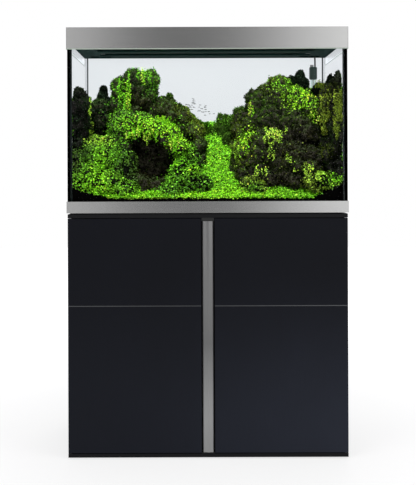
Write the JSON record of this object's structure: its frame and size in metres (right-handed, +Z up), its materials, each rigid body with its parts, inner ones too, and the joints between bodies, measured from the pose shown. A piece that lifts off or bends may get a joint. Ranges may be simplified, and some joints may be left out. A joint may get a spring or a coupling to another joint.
{
  "type": "aquarium on stand",
  "caption": "Planted glass aquarium with a hinged brushed-metal hood, a heater and an aquascape, on a dark two-door cabinet with a canister filter.",
  "frame": {"origin": "centre of the footprint on the floor", "axes": "+X to the viewer's right, front faces -Y, +Z up"},
  "size_m": [0.906, 0.503, 1.386],
  "materials": {
    "carcass_board": "near-black laminated board",
    "door_board": "near-black navy foil with a fine grain",
    "inlay": "satin grey strip",
    "brushed_metal": "brushed silver",
    "pale_lip": "translucent pale edge",
    "black_plastic": "fine moulded texture",
    "foam_mat": "closed-cell foam",
    "steel": "turned",
    "clear_glass": "clear float glass",
    "silicone": "black silicone",
    "background": "frosted pale film",
    "light_bar": "anodised",
    "diffuser": "frosted",
    "heater_plastic": "dark green-grey moulding",
    "heater_glass": "borosilicate tube",
    "heater_ceramic": "ceramic core with a wound coil",
    "dial": "grey knob",
    "suction_rubber": "soft rubber",
    "lead_rubber": "black sheath",
    "plug_plastic": "moulded black plug",
    "filter_grey": "charcoal can",
    "filter_black": "black moulding",
    "clip": "grey clip",
    "filter_foam": "open filter foam",
    "button": "light grey button",
    "soil": "dark granular aquarium soil",
    "rock": "dark layered rock with moss",
    "leaves": "small bright-green leaves",
    "fish": "small slim silver-grey fish"
  },
  "bodies": {
    "stand": {"foot_glides": "black_plastic", "bottom_panel": "carcass_board", "top_panel": "carcass_board", "left_side_panel": "carcass_board", "right_side_panel": "carcass_board", "centre_upright": "carcass_board", "centre_stile": "carcass_board", "back_panel": "carcass_board", "shelf": "carcass_board", "shelf_pins": "steel", "door_pins": "steel", "centre_trim": "brushed_metal", "trim_end_caps": "black_plastic", "latch_housings": "black_plastic", "filter_canister": "filter_grey", "filter_media": "filter_foam", "filter_head": "filter_black", "support_mat": "foam_mat", "base_frame": "brushed_metal", "bottom_pane": "clear_glass", "front_pane": "clear_glass", "rear_pane": "clear_glass", "left_pane": "clear_glass", "right_pane": "clear_glass", "silicone_seams": "silicone", "background_film": "background", "hood_skirt": "brushed_metal", "hood_lip": "pale_lip", "hood_tray": "black_plastic", "rear_deck": "black_plastic", "flap_hinge_pins": "steel", "light_housing": "light_bar", "light_diffuser": "diffuser", "heater_head": "heater_plastic", "heater_tube": "heater_glass", "heater_element": "heater_ceramic", "heater_bracket": "suction_rubber", "lead_gland": "lead_rubber", "heater_lead": "lead_rubber", "heater_plug": "plug_plastic", "substrate": "soil", "left_rock": "rock", "cave_rock": "rock", "right_rock": "rock", "side_rocks": "rock", "carpet_plants": "leaves", "left_plants": "leaves", "right_plants": "leaves", "background_plants": "leaves"},
    "left_door": {"left_door": "door_board", "left_door_inlay": "inlay"},
    "right_door": {"right_door": "door_board", "right_door_inlay": "inlay"},
    "left_latch": {"left_latch_plunger": "button"},
    "right_latch": {"right_latch_plunger": "button"},
    "flap": {"front_flap": "black_plastic"},
    "dial": {"heater_dial": "dial"},
    "left_clip": {"left_filter_clip": "clip"},
    "right_clip": {"right_filter_clip": "clip"},
    "primer": {"primer_button": "button"}
  },
  "joints": [
    {"name": "left_door_hinge", "type": "hinge", "parent": "stand", "child": "left_door", "pos_m": [-0.443, -0.216, 0.4], "axis": [0, 0, -1], "range_deg": [0, 105]},
    {"name": "right_door_hinge", "type": "hinge", "parent": "stand", "child": "right_door", "pos_m": [0.443, -0.216, 0.4], "axis": [0, 0, 1], "range_deg": [0, 105]},
    {"name": "left_latch_push", "type": "slide", "parent": "stand", "child": "left_latch", "axis": [0, 1, 0], "range_m": [0, 0.003], "stiffness_N_per_m": 300},
    {"name": "right_latch_push", "type": "slide", "parent": "stand", "child": "right_latch", "axis": [0, 1, 0], "range_m": [0, 0.003], "stiffness_N_per_m": 300},
    {"name": "front_flap_hinge", "type": "hinge", "parent": "stand", "child": "flap", "pos_m": [0, 0.062, 1.3803], "axis": [-1, 0, 0], "range_deg": [0, 100]},
    {"name": "heater_dial_turn", "type": "hinge", "parent": "stand", "child": "dial", "pos_m": [0.395, 0.19, 1.31], "axis": [0, 0, 1], "range_deg": [0, 270]},
    {"name": "left_clip_turn", "type": "hinge", "parent": "stand", "child": "left_clip", "pos_m": [0.115, 0.015, 0.32], "axis": [0, 1, 0], "range_deg": [0, 60]},
    {"name": "right_clip_turn", "type": "hinge", "parent": "stand", "child": "right_clip", "pos_m": [0.335, 0.015, 0.32], "axis": [0, -1, 0], "range_deg": [0, 60]},
    {"name": "primer_push", "type": "slide", "parent": "stand", "child": "primer", "axis": [0, 0, -1], "range_m": [0, 0.008], "stiffness_N_per_m": 200, "springref_m": -0.003}
  ]
}
